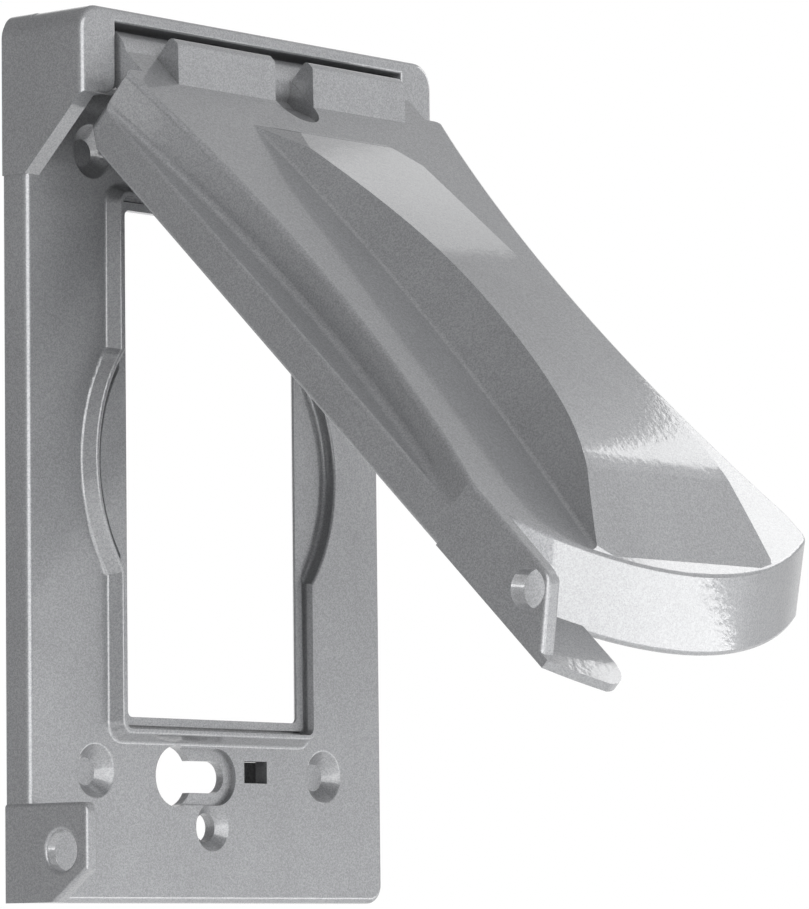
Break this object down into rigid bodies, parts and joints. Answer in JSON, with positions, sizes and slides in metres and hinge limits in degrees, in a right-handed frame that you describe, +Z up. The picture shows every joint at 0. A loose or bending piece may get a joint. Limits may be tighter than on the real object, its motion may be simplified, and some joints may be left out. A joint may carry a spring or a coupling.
{
  "type": "weatherproof flip cover for an outlet",
  "caption": "Die-cast single-gang cover plate with a hood, a pinned flip lid that folds up off a rectangular device window, padlock ears, keyhole slots and a foam gasket.",
  "frame": {"origin": "centre of the plate's back plane, midway between the two device screw holes", "axes": "+Y goes into the wall, away from the lid; +Z is up, from the padlock ear's end to the hood; +X is to the right for a person who faces the cover"},
  "size_m": [0.0724, 0.0906, 0.1172],
  "materials": {
    "plate_casting": "die-cast aluminium under silver-grey metallic powder coat",
    "insert_plate": "die-cast aluminium under the same silver-grey metallic powder coat",
    "gasket_foam": "closed-cell black neoprene foam",
    "pin_steel": "drawn stainless steel",
    "lid_casting": "die-cast aluminium under silver-grey metallic powder coat"
  },
  "bodies": {
    "plate": {"base_frame": "plate_casting", "device_insert": "insert_plate", "wall_gasket": "gasket_foam", "hinge_pin": "pin_steel"},
    "lid": {"flip_lid": "lid_casting"}
  },
  "joints": [
    {"name": "lid_hinge", "type": "hinge", "parent": "plate", "child": "lid", "pos_m": [0, -0.0116, 0.05185], "axis": [-1, 0, 0], "range_deg": [-45.87, 44]}
  ]
}
